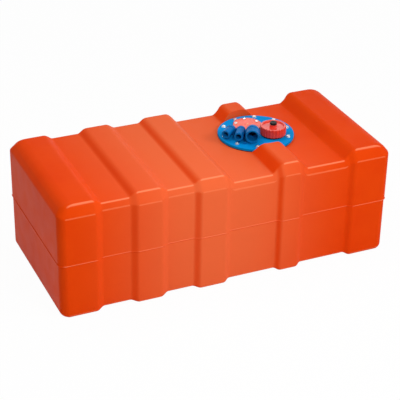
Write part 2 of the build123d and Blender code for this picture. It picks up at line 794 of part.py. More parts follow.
def elbow_nut(x, y, stem_radius, nut_radius, name):
    """The hexagon nut that draws an elbow down from under the plate."""
    with BuildPart() as nut:
        with BuildSketch(Plane.XY.offset(plate_base)):
            with Locations(on_plate(x, y, 0)):
                RegularPolygon(nut_radius, nut_flats)
                Circle(stem_radius + fit_clearance, mode=Mode.SUBTRACT)
        extrude(amount=-elbow_nut_thickness)
    finish(nut, name)


# ---- the three elbows, each with its seal and nut ------------------------------------------
filler_flange_radius = filler_nut_radius + flange_overhang
outlet_flange_radius = outlet_nut_radius + flange_overhang
vent_flange_radius = vent_nut_radius + flange_overhang
hose_elbow(filler_elbow_x, filler_elbow_y, filler_elbow_heading, filler_elbow_height,
           filler_elbow_reach, filler_hose_radius, filler_mouth_radius, filler_bore_radius,
           filler_stem_radius, filler_flange_radius, "filler_elbow")
elbow_seal(filler_elbow_x, filler_elbow_y, filler_stem_radius, filler_flange_radius, "filler_seal")
elbow_nut(filler_elbow_x, filler_elbow_y, filler_stem_radius, filler_nut_radius, "filler_nut")
hose_elbow(outlet_elbow_x, outlet_elbow_y, outlet_elbow_heading, outlet_elbow_height,
           outlet_elbow_reach, outlet_hose_radius, outlet_mouth_radius, outlet_bore_radius,
           outlet_stem_radius, outlet_flange_radius, "outlet_elbow")
elbow_seal(outlet_elbow_x, outlet_elbow_y, outlet_stem_radius, outlet_flange_radius, "outlet_seal")
elbow_nut(outlet_elbow_x, outlet_elbow_y, outlet_stem_radius, outlet_nut_radius, "outlet_nut")
hose_elbow(vent_elbow_x, vent_elbow_y, vent_elbow_heading, vent_elbow_height,
           vent_elbow_reach, vent_hose_radius, vent_mouth_radius, vent_bore_radius,
           vent_stem_radius, vent_flange_radius, "vent_elbow")
elbow_seal(vent_elbow_x, vent_elbow_y, vent_stem_radius, vent_flange_radius, "vent_seal")
elbow_nut(vent_elbow_x, vent_elbow_y, vent_stem_radius, vent_nut_radius, "vent_nut")

# ---- blanking plug in the spare port -------------------------------------------------------
with BuildPart() as blanking_plug:
    with BuildSketch(Plane.XY.offset(plate_top)):
        with Locations(on_plate(plug_x, plug_y, 0)):
            Circle(plug_head_radius)
    extrude(amount=plug_head_height)
    fillet(blanking_plug.edges().group_by(Axis.Z)[-1], plug_head_height / 4)
    with BuildSketch(Plane.XY.offset(plate_top)):
        with Locations(on_plate(plug_x, plug_y, 0)):
            Circle(plug_shank_radius)
    extrude(amount=-plug_shank_length)
    with BuildSketch(Plane.XY.offset(plate_top + plug_head_height)):
        with Locations(on_plate(plug_x, plug_y, 0)):
            RegularPolygon(plug_socket_width / 2, nut_flats)
    extrude(amount=-plug_socket_depth, mode=Mode.SUBTRACT)
finish(blanking_plug, "blanking_plug")

# ---- pickup: tube down from the outlet elbow, with a slotted strainer at its foot ------------
stem_foot = plate_base - elbow_stem
tube_top = stem_foot + pickup_insertion
tube_radius = outlet_bore_radius - fit_clearance
strainer_base = floor_height + strainer_clearance
strainer_top = strainer_base + strainer_length
tube_base = strainer_top - strainer_grip
with BuildPart() as pickup_tube:
    with BuildSketch(Plane.XY.offset(tube_base)):
        with Locations(on_plate(outlet_elbow_x, outlet_elbow_y, 0)):
            Circle(tube_radius)
            Circle(tube_radius - pickup_wall, mode=Mode.SUBTRACT)
    extrude(amount=tube_top - tube_base)
finish(pickup_tube, "pickup_tube")

slot_height = strainer_length - strainer_grip - 3 * strainer_wall
with BuildPart() as pickup_strainer:
    with BuildSketch(Plane.XY.offset(strainer_base)):
        with Locations(on_plate(outlet_elbow_x, outlet_elbow_y, 0)):
            Circle(strainer_radius)
    extrude(amount=strainer_length)
    with BuildSketch(Plane.XY.offset(strainer_base + strainer_wall)):
        with Locations(on_plate(outlet_elbow_x, outlet_elbow_y, 0)):
            Circle(strainer_radius - strainer_wall)
    extrude(amount=strainer_length - strainer_grip - strainer_wall, mode=Mode.SUBTRACT)
    with BuildSketch(Plane.XY.offset(tube_base)):
        with Locations(on_plate(outlet_elbow_x, outlet_elbow_y, 0)):
            Circle(tube_radius + fit_clearance)
    extrude(amount=strainer_grip, mode=Mode.SUBTRACT)
    with BuildSketch(Plane.XY.offset(strainer_base + 2 * strainer_wall)):
        with Locations(on_plate(outlet_elbow_x, outlet_elbow_y, 0)):
            with PolarLocations(strainer_radius, strainer_slots):
                Rectangle(3 * strainer_wall, strainer_slot_width)
    extrude(amount=slot_height, mode=Mode.SUBTRACT)
finish(pickup_strainer, "pickup_strainer")
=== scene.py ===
import math

import bmesh
import bpy
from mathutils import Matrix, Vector


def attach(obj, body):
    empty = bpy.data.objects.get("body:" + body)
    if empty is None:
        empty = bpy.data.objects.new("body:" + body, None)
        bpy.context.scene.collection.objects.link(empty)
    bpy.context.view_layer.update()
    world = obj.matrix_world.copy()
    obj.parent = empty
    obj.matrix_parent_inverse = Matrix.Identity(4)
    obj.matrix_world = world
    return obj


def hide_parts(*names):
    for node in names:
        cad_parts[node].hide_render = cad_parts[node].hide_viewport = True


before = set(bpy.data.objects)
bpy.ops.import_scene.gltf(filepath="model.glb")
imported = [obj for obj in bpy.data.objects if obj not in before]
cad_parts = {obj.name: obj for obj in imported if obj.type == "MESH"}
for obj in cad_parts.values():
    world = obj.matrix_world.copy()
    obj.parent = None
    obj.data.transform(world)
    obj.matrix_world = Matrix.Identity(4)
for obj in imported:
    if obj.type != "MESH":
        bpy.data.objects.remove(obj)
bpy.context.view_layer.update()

# ---- tank ----------------------------------------------------------------------------------
# The tank is one hollow moulding of orange polyethylene, spun in an oven until the powder has
# coated the mould. Ribs and hollows stiffen it, and the mould's parting line runs all round.
TANK_LENGTH, TANK_WIDTH, TANK_HEIGHT = 0.808, 0.362, 0.275
TANK_WALL = 0.0055
HALF_LENGTH, HALF_WIDTH = TANK_LENGTH / 2, TANK_WIDTH / 2
# each hollow: left rib's edge, floor from, floor to, right rib's edge, its ramps' run at the
# sides, its depth on top, and how long the ramps' upper corners are rounded
HOLLOWS = (
    (-0.3170, -0.3030, -0.2365, -0.2225, 0.014, 0.0105, 0.015),
    (-0.1645, -0.1505, -0.0865, -0.0725, 0.014, 0.0105, 0.015),
    (-0.0105, 0.0095, 0.1075, 0.1275, 0.010, 0.0245, 0.019),
    (0.1725, 0.1925, 0.2900, 0.3100, 0.010, 0.0245, 0.019),
)
RAMP_FOOT, SIDE_CREST = 0.007, 0.009
HOLLOW_SIDE, HOLLOW_BASE = 0.008, 0.005
RIB_BEVEL = (0.0135, 0.0258)
HOLLOW_BEVEL = (0.0064, 0.0154)
END_BEVEL = (0.0165, 0.0215)
# how far each kind of edge is rounded off
CORNER_SOFT, CORNER_STEPS = 0.018, 8
END_BASE_SOFT, END_TOP_SOFT, END_FOOT_SOFT = 0.0165, 0.020, 0.004
BASE_SOFT, FOOT_SOFT, HEAD_SOFT = 0.005, 0.0025, 0.0042
SEAM_HEIGHT, SEAM_RISE, SEAM_LIP = 0.132, 0.002, 0.0010
SEAM_SIDE_STEP, SEAM_END_STEP = 0.0015, 0.0022
PLATE_X, PLATE_Y, DECK = 0.1560, 0.0275, 0.2505
PLATE_PLACE = (PLATE_X, PLATE_Y)
POCKET_RADIUS, POCKET_RIM, RIM_ANGLE = 0.0925, 0.0030, 35
FLANGE_HOLE, COLLAR_RADIUS, COLLAR_DEPTH = 0.070, 0.088, 0.014
# the pocket's visible floor rises this much into the gasket, so that no gap shows
FLOOR_LIFT = 0.0001
# the cutters run from inside the tank to above it
CUT_FROM, CUT_TO = 0.2, 0.3
# only the upright edges of the first block rise more than this
UPRIGHT_RISE = 0.1
# the pocket's rim lies higher over the deck than this
RIM_OVER_DECK = 0.002
# how many steps each ramp's curve has outside and inside
OUTSIDE_STEPS, INSIDE_STEPS = 12, 3
TINY = 1e-5


def select_only(*pieces):
    """Selects these pieces and nothing else, and makes the first of them active."""
    bpy.ops.object.select_all(action="DESELECT")
    for piece in pieces:
        piece.select_set(True)
    bpy.context.view_layer.objects.active = pieces[0]


def settle(*pieces):
    """Works the place, turn and size of these pieces into their meshes."""
    select_only(*pieces)
    bpy.ops.object.transform_apply(location=True, rotation=True, scale=True)


def new_piece(name):
    """Names the primitive that was just added and settles it."""
    piece = bpy.context.object
    piece.name = name
    settle(piece)
    return piece


def start_edit(piece):
    """Opens the mesh of one piece, with nothing selected in it."""
    select_only(piece)
    bpy.ops.object.mode_set(mode="EDIT")
    bpy.ops.mesh.select_mode(type="VERT")
    bpy.ops.mesh.select_all(action="DESELECT")


def end_edit():
    """Leaves edit mode, with no piece selected."""
    bpy.ops.object.mode_set(mode="OBJECT")
    bpy.ops.object.select_all(action="DESELECT")


def pick(piece, kind, wanted):
    """In edit mode, selects only the points, edges or faces for which wanted() is true."""
    bpy.ops.mesh.select_mode(type={"verts": "VERT", "edges": "EDGE", "faces": "FACE"}[kind])
    bpy.ops.mesh.select_all(action="DESELECT")
    mesh = bmesh.from_edit_mesh(piece.data)
    for part in getattr(mesh, kind):
        if wanted(part):
            part.select_set(True)
    mesh.select_flush_mode()
    bmesh.update_edit_mesh(piece.data)


def add_block(name, size, centre):
    """A block of this size, as a start to cut and bevel."""
    bpy.ops.object.select_all(action="DESELECT")
    bpy.ops.mesh.primitive_cube_add(size=1, location=centre, scale=size)
    return new_piece(name)


def add_drum(name, radius, base, top, place, sides=128):
    """An upright drum, used to cut pockets and holes."""
    bpy.ops.object.select_all(action="DESELECT")
    bpy.ops.mesh.primitive_cylinder_add(vertices=sides, radius=radius, depth=top - base,
                                        location=(*place, (base + top) / 2))
    return new_piece(name)


def apply_modifier(piece, kind, **settings):
    """Puts a modifier on the piece with these settings and applies it."""
    select_only(piece)
    modifier = piece.modifiers.new(kind.lower(), kind)
    for setting, value in settings.items():
        setattr(modifier, setting, value)
    bpy.ops.object.modifier_apply(modifier=modifier.name)
    bpy.ops.object.select_all(action="DESELECT")


def cut_away(piece, cutter):
    """Cuts the cutter's shape out of the piece and removes the cutter."""
    apply_modifier(piece, "BOOLEAN", operation="DIFFERENCE", object=cutter, solver="EXACT")
    bpy.data.objects.remove(cutter)


def smooth_faces(piece, angle=30):
    """Smooth shading up to this angle, with the large faces kept flat."""
    select_only(piece)
    bpy.ops.object.shade_smooth_by_angle(angle=math.radians(angle))
    apply_modifier(piece, "WEIGHTED_NORMAL", keep_sharp=True, weight=80)


def score(place, normal):
    """Cuts an edge loop along a plane through the whole open mesh."""
    bpy.ops.mesh.select_all(action="SELECT")
    bpy.ops.mesh.bisect(plane_co=place, plane_no=Vector(normal).normalized())


def bevel_corner(side, top, bevel, inset):
    """The foot and head of a sloping top edge of the section, set in by inset."""
    width, height = bevel
    slope = math.hypot(width, height)
    foot = top - height - inset * (slope - height) / width
    head = side - width - inset * (slope - width) / height
    return (side - inset, foot), (head, top - inset)


def section_corners(side_share, top_share, drop, inset):
    """Base, bevel foot and bevel head of the section, from a rib, 0, to a hollow, 1."""
    bevel = [rib + top_share * (hollow - rib) for rib, hollow in zip(RIB_BEVEL, HOLLOW_BEVEL)]
    side = HALF_WIDTH - side_share * HOLLOW_SIDE
    foot, head = bevel_corner(side, TANK_HEIGHT - top_share * drop, bevel, inset)
    return (side - inset, side_share * HOLLOW_BASE + inset), foot, head


def ramp_share(travelled, run, crest, foot):
    """How far down a ramp of this run is, with its two corners rounded over these lengths."""
    if abs(travelled) < crest / 2:
        return (travelled + crest / 2) ** 2 / (2 * crest * run)
    if abs(travelled - run) < foot / 2:
        return 1 - (run - travelled + foot / 2) ** 2 / (2 * foot * run)
    return min(max(travelled / run, 0), 1)


def ramp_stations(steps):
    """Every station along the ramps: place, share at the side, share on top, and depth."""
    stations = []
    for rib_out, floor_from, floor_to, rib_in, side_run, drop, crest in HOLLOWS:
        for rib, floor, way in ((rib_out, floor_from, 1), (rib_in, floor_to, -1)):
            run = abs(floor - rib)
            for step in range(steps + 1):
                travelled = -crest / 2 + (run + crest / 2 + RAMP_FOOT / 2) * step / steps
                stations.append((rib + way * travelled,
                                 ramp_share(travelled, side_run, SIDE_CREST, RAMP_FOOT),
                                 ramp_share(travelled, run, crest, RAMP_FOOT), drop))
    return stations


def moulded_form(name, inset, steps):
    """The moulding's outside, or the space inside it when inset is the wall."""
    base, foot, head = section_corners(0, 0, 0, inset)
    end_foot, end_head = bevel_corner(HALF_LENGTH, TANK_HEIGHT, END_BEVEL, inset)
    radius = CORNER_SOFT - inset
    form = add_block(name, (2 * end_foot[0], 2 * foot[0], foot[1] - inset),
                     (0, 0, (foot[1] + inset) / 2))
    start_edit(form)
    pick(form, "edges", lambda e: abs(e.verts[0].co.z - e.verts[1].co.z) > UPRIGHT_RISE)
    bpy.ops.mesh.bevel(offset=radius, segments=CORNER_STEPS, affect="EDGES")
    # the sloping band round the top, which starts a little higher at the ends
    pick(form, "faces", lambda f: f.normal.z > 0.9)
    bpy.ops.mesh.extrude_region_move(
        TRANSFORM_OT_translate={"value": (0, 0, head[1] - foot[1])})
    bpy.ops.transform.resize(value=(end_head[0] / end_foot[0], head[0] / foot[0], 1),
                             center_override=(0, 0, head[1]))

    def turned(place):
        """Round the upright corners, from an end, 0, to a side, 1."""
        across, along = abs(place.y), abs(place.x)
        if place.z > head[1] - TINY:
            across, along = across * foot[0] / head[0], along * end_foot[0] / end_head[0]
        return math.atan2(max(across - foot[0] + radius, 0),
                          max(along - end_foot[0] + radius, 0)) / (math.pi / 2)

    for step in range(CORNER_STEPS):
        share = step / CORNER_STEPS
        pick(form, "verts", lambda v: abs(v.co.z - foot[1]) < TINY
             and abs(turned(v.co) - share) < 0.01)
        bpy.ops.transform.translate(value=(0, 0, (end_foot[1] - foot[1]) * (1 - share)))

    def softness(edge):
        """How far this edge of the block is rounded off, at the ends and at the sides."""
        heights = [v.co.z for v in edge.verts]
        if max(heights) < inset + TINY:
            # the space inside is rounded alike all round its base, or its corners would fold
            ends, sides = BASE_SOFT if inset else END_BASE_SOFT, BASE_SOFT
        elif min(heights) > head[1] - TINY:
            ends, sides = END_TOP_SOFT, HEAD_SOFT
        elif min(heights) > foot[1] - TINY and max(heights) < end_foot[1] + TINY:
            ends, sides = END_FOOT_SOFT, FOOT_SOFT
        else:
            return 0
        share = turned((edge.verts[0].co + edge.verts[1].co) / 2)
        return ends + share * (sides - ends)

    mesh = bmesh.from_edit_mesh(form.data)
    for value in sorted({round(softness(e), 5) for e in mesh.edges} - {0}):
        pick(form, "edges", lambda e: abs(softness(e) - value) < TINY)
        bpy.ops.transform.edge_bevelweight(value=value / END_TOP_SOFT)
    # the hollows: at each station the corners of the outline move in from those of a rib
    stations = ramp_stations(steps)
    for station, side_share, top_share, drop in stations:
        score((station, 0, 0), (1, 0, 0))
    for station, side_share, top_share, drop in stations:
        new_corners = section_corners(side_share, top_share, drop, inset)
        for old, new in zip((base, foot, head), new_corners):
            for hand in (-1, 1):
                pick(form, "verts", lambda v: abs(v.co.x - station) < TINY
                     and abs(v.co.y - hand * old[0]) < TINY and abs(v.co.z - old[1]) < TINY)
                bpy.ops.transform.translate(value=(0, hand * (new[0] - old[0]),
                                                   new[1] - old[1]))
    end_edit()
    apply_modifier(form, "BEVEL", width=END_TOP_SOFT - inset, segments=6,
                   limit_method="WEIGHT", offset_type="OFFSET", use_clamp_overlap=False,
                   miter_outer="MITER_SHARP")
    return form


def set_back_below_seam(form):
    """Scores the parting line and sets back the lower half, and the upper half a little less,
    so that a faint lip stands between them."""
    start_edit(form)
    for height in (SEAM_HEIGHT - SEAM_RISE / 2, SEAM_HEIGHT + SEAM_RISE / 2,
                   SEAM_HEIGHT + SEAM_RISE):
        score((0, 0, height), (0, 0, 1))
    for above, side_step, end_step in ((False, SEAM_SIDE_STEP, SEAM_END_STEP),
                                       (True, SEAM_LIP, SEAM_LIP)):
        def set_back(v):
            """Whether this point is in the half that is set back in this round."""
            if above:
                return v.co.z > SEAM_HEIGHT + SEAM_RISE - TINY
            return v.co.z < SEAM_HEIGHT

        pick(form, "verts", set_back)
        bpy.ops.transform.resize(value=(1, 1 - side_step / HALF_WIDTH, 1),
                                 center_override=(0, 0, 0))
        for hand in (-1, 1):
            pick(form, "verts", lambda v: set_back(v)
                 and hand * v.co.x > HALF_LENGTH - CORNER_SOFT - TINY)
            bpy.ops.transform.translate(value=(-hand * end_step, 0, 0))
    end_edit()


tank = moulded_form("tank_moulding", 0, OUTSIDE_STEPS)
set_back_below_seam(tank)
cut_away(tank, add_drum("pocket_cutter", POCKET_RADIUS, DECK + FLOOR_LIFT, CUT_TO, PLATE_PLACE))


def on_pocket_rim(edge):
    """The pocket's upper edge, where its wall meets the rib."""
    return edge.is_manifold and edge.calc_face_angle(0) > math.radians(RIM_ANGLE) and all(
        abs(math.hypot(v.co.x - PLATE_X, v.co.y - PLATE_Y) - POCKET_RADIUS) < 10 * TINY
        and v.co.z > DECK + RIM_OVER_DECK for v in edge.verts)


start_edit(tank)
pick(tank, "edges", on_pocket_rim)
bpy.ops.mesh.bevel(offset=POCKET_RIM, segments=3, affect="EDGES", clamp_overlap=True)
end_edit()
hollow = moulded_form("hollow_cutter", TANK_WALL, INSIDE_STEPS)
set_back_below_seam(hollow)
cut_away(hollow, add_drum("pocket_wall", POCKET_RADIUS + TANK_WALL, DECK - TANK_WALL, CUT_TO,
                          PLATE_PLACE))
cut_away(hollow, add_drum("collar_wall", COLLAR_RADIUS, DECK - COLLAR_DEPTH, CUT_TO,
                          PLATE_PLACE))
cut_away(tank, hollow)
cut_away(tank, add_drum("flange_cutter", FLANGE_HOLE, CUT_FROM, CUT_TO, PLATE_PLACE))
smooth_faces(tank)


def new_material(name):
    """An empty material with a Principled shader and object coordinates."""
    material = bpy.data.materials.new(name)
    material.use_nodes = True
    tree = material.node_tree
    shader = tree.nodes["Principled BSDF"]
    place = tree.nodes.new("ShaderNodeTexCoord")
    return material, tree, shader, place.outputs["Object"]


def colour_mix(tree):
    """A mix of two colours: its share, first colour, second colour and result."""
    mix = tree.nodes.new("ShaderNodeMix")
    mix.data_type = "RGBA"
    return mix.inputs[0], mix.inputs[6], mix.inputs[7], mix.outputs[2]


def drift_group():
    """Slow changes of shade over a moulding: the colour goes a little darker and richer."""
    group = bpy.data.node_groups.new("colour_drift", "ShaderNodeTree")
    face = group.interface
    face.new_socket("Place", in_out="INPUT", socket_type="NodeSocketVector")
    face.new_socket("Colour", in_out="INPUT", socket_type="NodeSocketColor")
    face.new_socket("Deep Colour", in_out="INPUT", socket_type="NodeSocketColor")
    face.new_socket("Patches", in_out="INPUT", socket_type="NodeSocketFloat")
    face.new_socket("Colour", in_out="OUTPUT", socket_type="NodeSocketColor")
    start = group.nodes.new("NodeGroupInput")
    noise = group.nodes.new("ShaderNodeTexNoise")
    noise.inputs["Detail"].default_value = 4
    noise.inputs["Roughness"].default_value = 0.55
    spread = group.nodes.new("ShaderNodeMapRange")
    spread.inputs["From Min"].default_value = 0.35
    spread.inputs["From Max"].default_value = 0.70
    share, first, second, mixed = colour_mix(group)
    end = group.nodes.new("NodeGroupOutput")
    link = group.links.new
    link(start.outputs["Place"], noise.inputs["Vector"])
    link(start.outputs["Patches"], noise.inputs["Scale"])
    link(noise.outputs["Fac"], spread.inputs["Value"])
    link(spread.outputs["Result"], share)
    link(start.outputs["Colour"], first)
    link(start.outputs["Deep Colour"], second)
    link(mixed, end.inputs["Colour"])
    return group


def edge_group():
    """A mask of rubbed edges: where the surface turns within a small radius, broken up."""
    group = bpy.data.node_groups.new("rubbed_edges", "ShaderNodeTree")
    face = group.interface
    face.new_socket("Place", in_out="INPUT", socket_type="NodeSocketVector")
    face.new_socket("Radius", in_out="INPUT", socket_type="NodeSocketFloat")
    face.new_socket("Patches", in_out="INPUT", socket_type="NodeSocketFloat")
    face.new_socket("Mask", in_out="OUTPUT", socket_type="NodeSocketFloat")
    start = group.nodes.new("NodeGroupInput")
    turned = group.nodes.new("ShaderNodeBevel")
    turned.samples = 4
    surface = group.nodes.new("ShaderNodeNewGeometry")
    agree = group.nodes.new("ShaderNodeVectorMath")
    agree.operation = "DOT_PRODUCT"
    spread = group.nodes.new("ShaderNodeMapRange")
    spread.inputs["From Min"].default_value = 0.995
    spread.inputs["From Max"].default_value = 0.86
    noise = group.nodes.new("ShaderNodeTexNoise")
    noise.inputs["Detail"].default_value = 5
    breaks = group.nodes.new("ShaderNodeMapRange")
    breaks.inputs["From Min"].default_value = 0.35
    breaks.inputs["From Max"].default_value = 0.65
    both = group.nodes.new("ShaderNodeMath")
    both.operation = "MULTIPLY"
    end = group.nodes.new("NodeGroupOutput")
    link = group.links.new
    link(start.outputs["Radius"], turned.inputs["Radius"])
    link(turned.outputs["Normal"], agree.inputs[0])
    link(surface.outputs["Normal"], agree.inputs[1])
    link(agree.outputs["Value"], spread.inputs["Value"])
    link(start.outputs["Place"], noise.inputs["Vector"])
    link(start.outputs["Patches"], noise.inputs["Scale"])
    link(noise.outputs["Fac"], breaks.inputs["Value"])
    link(spread.outputs["Result"], both.inputs[0])
    link(breaks.outputs["Result"], both.inputs[1])
    link(both.outputs["Value"], end.inputs["Mask"])
    return group


def grain_group():
    """Height of a moulded surface: fine grain over a faint orange-peel ripple."""
    group = bpy.data.node_groups.new("moulded_grain", "ShaderNodeTree")
    face = group.interface
    face.new_socket("Place", in_out="INPUT", socket_type="NodeSocketVector")
    face.new_socket("Grain", in_out="INPUT", socket_type="NodeSocketFloat")
    face.new_socket("Ripple", in_out="INPUT", socket_type="NodeSocketFloat")
    face.new_socket("Height", in_out="OUTPUT", socket_type="NodeSocketFloat")
    start = group.nodes.new("NodeGroupInput")
    fine = group.nodes.new("ShaderNodeTexNoise")
    fine.inputs["Detail"].default_value = 3
    broad = group.nodes.new("ShaderNodeTexNoise")
    broad.inputs["Detail"].default_value = 1
    share = group.nodes.new("ShaderNodeMath")
    share.operation = "MULTIPLY_ADD"
    share.inputs[1].default_value = 0.35
    end = group.nodes.new("NodeGroupOutput")
    link = group.links.new
    link(start.outputs["Place"], fine.inputs["Vector"])
    link(start.outputs["Grain"], fine.inputs["Scale"])
    link(start.outputs["Place"], broad.inputs["Vector"])
    link(start.outputs["Ripple"], broad.inputs["Scale"])
    link(fine.outputs["Fac"], share.inputs[0])
    link(broad.outputs["Fac"], share.inputs[2])
    link(share.outputs["Value"], end.inputs["Height"])
    return group


COLOUR_DRIFT, RUBBED_EDGES, MOULDED_GRAIN = drift_group(), edge_group(), grain_group()
RUB_PATCHES = 130


def place_group(tree, group, place, **values):
    """Puts a shared effect in a material, with its own values."""
    node = tree.nodes.new("ShaderNodeGroup")
    node.node_tree = group
    tree.links.new(place, node.inputs["Place"])
    for socket, value in values.items():
        node.inputs[socket.replace("_", " ")].default_value = value
    return node


def moulded_plastic(name, colour, deep, rubbed, roughness, grain=900, ripple=60, depth=0.0002,
                    patches=9, edge_radius=0.003, edge_share=0.35, sheen_drift=0.08,
                    specular=0.5):
    """Moulded plastic: drifting shade and sheen, fine grain, and paler rubbed edges."""
    material, tree, shader, place = new_material(name)
    shader.inputs["Specular IOR Level"].default_value = specular
    link = tree.links.new
    drift = place_group(tree, COLOUR_DRIFT, place, Colour=(*colour, 1), Deep_Colour=(*deep, 1),
                        Patches=patches)
    edges = place_group(tree, RUBBED_EDGES, place, Radius=edge_radius, Patches=RUB_PATCHES)
    wear = tree.nodes.new("ShaderNodeMath")
    wear.operation = "MULTIPLY"
    wear.inputs[1].default_value = edge_share
    share, first, second, mixed = colour_mix(tree)
    second.default_value = (*rubbed, 1)
    link(edges.outputs["Mask"], wear.inputs[0])
    link(wear.outputs["Value"], share)
    link(drift.outputs["Colour"], first)
    link(mixed, shader.inputs["Base Color"])
    gloss = tree.nodes.new("ShaderNodeTexNoise")
    gloss.inputs["Scale"].default_value = patches * 3
    gloss.inputs["Detail"].default_value = 5
    link(place, gloss.inputs["Vector"])
    rough = tree.nodes.new("ShaderNodeMapRange")
    rough.inputs["From Min"].default_value = 0.3
    rough.inputs["From Max"].default_value = 0.7
    rough.inputs["To Min"].default_value = roughness - sheen_drift
    rough.inputs["To Max"].default_value = roughness + sheen_drift
    link(gloss.outputs["Fac"], rough.inputs["Value"])
    link(rough.outputs["Result"], shader.inputs["Roughness"])
    height = place_group(tree, MOULDED_GRAIN, place, Grain=grain, Ripple=ripple)
    bump = tree.nodes.new("ShaderNodeBump")
    bump.inputs["Distance"].default_value = depth
    bump.inputs["Strength"].default_value = 0.6
    link(height.outputs["Height"], bump.inputs["Height"])
    link(bump.outputs["Normal"], shader.inputs["Normal"])
    return material


def dress(piece, material):
    """Gives a piece, or a CAD node named by text, this material all over."""
    if isinstance(piece, str):
        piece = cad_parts[piece]
    piece.data.materials.clear()
    piece.data.materials.append(material)


def blend_in(material, mask, colour):
    """Lays one more colour over a material where the mask is high."""
    tree = material.node_tree
    base = tree.nodes["Principled BSDF"].inputs["Base Color"]
    share, first, second, mixed = colour_mix(tree)
    second.default_value = (*colour, 1)
    tree.links.new(mask, share)
    tree.links.new(base.links[0].from_socket, first)
    tree.links.new(mixed, base)


def painted_edge_highlights(tree, lean, start, full, share):
    """A mask of painted highlights on the long edges, where the surface leans this way, or its
    mirror image, to within an angle whose cosine goes from start, no highlight, to full."""
    surface = tree.nodes.new("ShaderNodeNewGeometry")
    either_side = tree.nodes.new("ShaderNodeVectorMath")
    either_side.operation = "ABSOLUTE"
    leaning = tree.nodes.new("ShaderNodeVectorMath")
    leaning.operation = "DOT_PRODUCT"
    leaning.inputs[1].default_value = lean
    spread = tree.nodes.new("ShaderNodeMapRange")
    spread.inputs["From Min"].default_value = start
    spread.inputs["From Max"].default_value = full
    spread.inputs["To Max"].default_value = share
    tree.links.new(surface.outputs["Normal"], either_side.inputs[0])
    tree.links.new(either_side.outputs["Vector"], leaning.inputs[0])
    tree.links.new(leaning.outputs["Value"], spread.inputs["Value"])
    return spread.outputs["Result"]


# the painted pool of light falls from this way; a face gets none of it up to the first cosine and
# all of it from the second
PAINTED_LIGHT_DIRECTION = (0.50, -0.60, 0.62)
PAINTED_LIGHT_START, PAINTED_LIGHT_FULL = 0.12, 0.52


def painted_light_pool(tree, centre, reach, share):
    """A mask of painted light: a pool of light that is highest at this place along the tank and
    fades over this reach. Faces turned away from the light, which is painted as if it falls from
    the front, right and above, have none."""
    place = tree.nodes.new("ShaderNodeTexCoord")
    along = tree.nodes.new("ShaderNodeSeparateXYZ")
    shift = tree.nodes.new("ShaderNodeMath")
    shift.operation = "SUBTRACT"
    shift.inputs[1].default_value = centre
    away = tree.nodes.new("ShaderNodeMath")
    away.operation = "ABSOLUTE"
    fade = tree.nodes.new("ShaderNodeMapRange")
    fade.interpolation_type = "SMOOTHERSTEP"
    fade.inputs["From Max"].default_value = reach
    fade.inputs["To Min"].default_value = share
    fade.inputs["To Max"].default_value = 0
    surface = tree.nodes.new("ShaderNodeNewGeometry")
    facing = tree.nodes.new("ShaderNodeVectorMath")
    facing.operation = "DOT_PRODUCT"
    facing.inputs[1].default_value = PAINTED_LIGHT_DIRECTION
    lit = tree.nodes.new("ShaderNodeMapRange")
    lit.inputs["From Min"].default_value = PAINTED_LIGHT_START
    lit.inputs["From Max"].default_value = PAINTED_LIGHT_FULL
    both = tree.nodes.new("ShaderNodeMath")
    both.operation = "MULTIPLY"
    link = tree.links.new
    link(place.outputs["Object"], along.inputs[0])
    link(along.outputs["X"], shift.inputs[0])
    link(shift.outputs["Value"], away.inputs[0])
    link(away.outputs["Value"], fade.inputs["Value"])
    link(surface.outputs["Normal"], facing.inputs[0])
    link(facing.outputs["Value"], lit.inputs["Value"])
    link(fade.outputs["Result"], both.inputs[0])
    link(lit.outputs["Result"], both.inputs[1])
    return both.outputs["Value"]


FRESH_ORANGE, DEEP_ORANGE = (0.80, 0.060, 0.0020), (0.77, 0.050, 0.0015)
# the second of the next two is the paler orange of the painted pool of light
RUBBED_ORANGE, LIT_POOL_ORANGE = (0.86, 0.11, 0.02), (0.82, 0.150, 0.050)
# the colours of the painted highlights on the upper and the lower edges of the slopes
PAINTED_HIGHLIGHT, FAINT_PAINTED_HIGHLIGHT = (1.0, 0.30, 0.15), (0.95, 0.22, 0.09)
# which way the upper edges of the long slopes lean, and their lower edges, where the highlights
# are painted
UPPER_LEAN, LOWER_LEAN = (0, 0.55, 0.835), (0, 0.985, 0.174)
ORANGE = moulded_plastic("tank_polyethylene", FRESH_ORANGE, DEEP_ORANGE, RUBBED_ORANGE, 0.38,
                         edge_radius=0.002, edge_share=0.15, sheen_drift=0.05, specular=0.02)
# a pool of light is painted on the middle of the tank, on faces turned to the light; highlights
# are painted bright along the upper edges of the slopes, and fainter along their lower edges
blend_in(ORANGE, painted_light_pool(ORANGE.node_tree, centre=-0.03, reach=0.38, share=0.8),
         LIT_POOL_ORANGE)
blend_in(ORANGE, painted_edge_highlights(ORANGE.node_tree, UPPER_LEAN, start=0.945, full=0.99, share=0.6),
         PAINTED_HIGHLIGHT)
blend_in(ORANGE, painted_edge_highlights(ORANGE.node_tree, LOWER_LEAN, start=0.988, full=0.995,
                                share=0.45), FAINT_PAINTED_HIGHLIGHT)
dress(tank, ORANGE)
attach(tank, "tank")
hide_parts("tank_shell")

# ---- threaded inserts ------------------------------------------------------------------------
# Ten turned brass bushes are moulded into the thick ring round the pocket's hole, and the
# plate's screws bite in them. The sender's terminal is turned from the same brass.
BRASS = moulded_plastic("turned_brass", (0.62, 0.44, 0.16), (0.5, 0.34, 0.11),
                        (0.8, 0.65, 0.35), 0.3)
BRASS.node_tree.nodes["Principled BSDF"].inputs["Metallic"].default_value = 1
dress("threaded_inserts", BRASS)
dress("sender_terminal", BRASS)

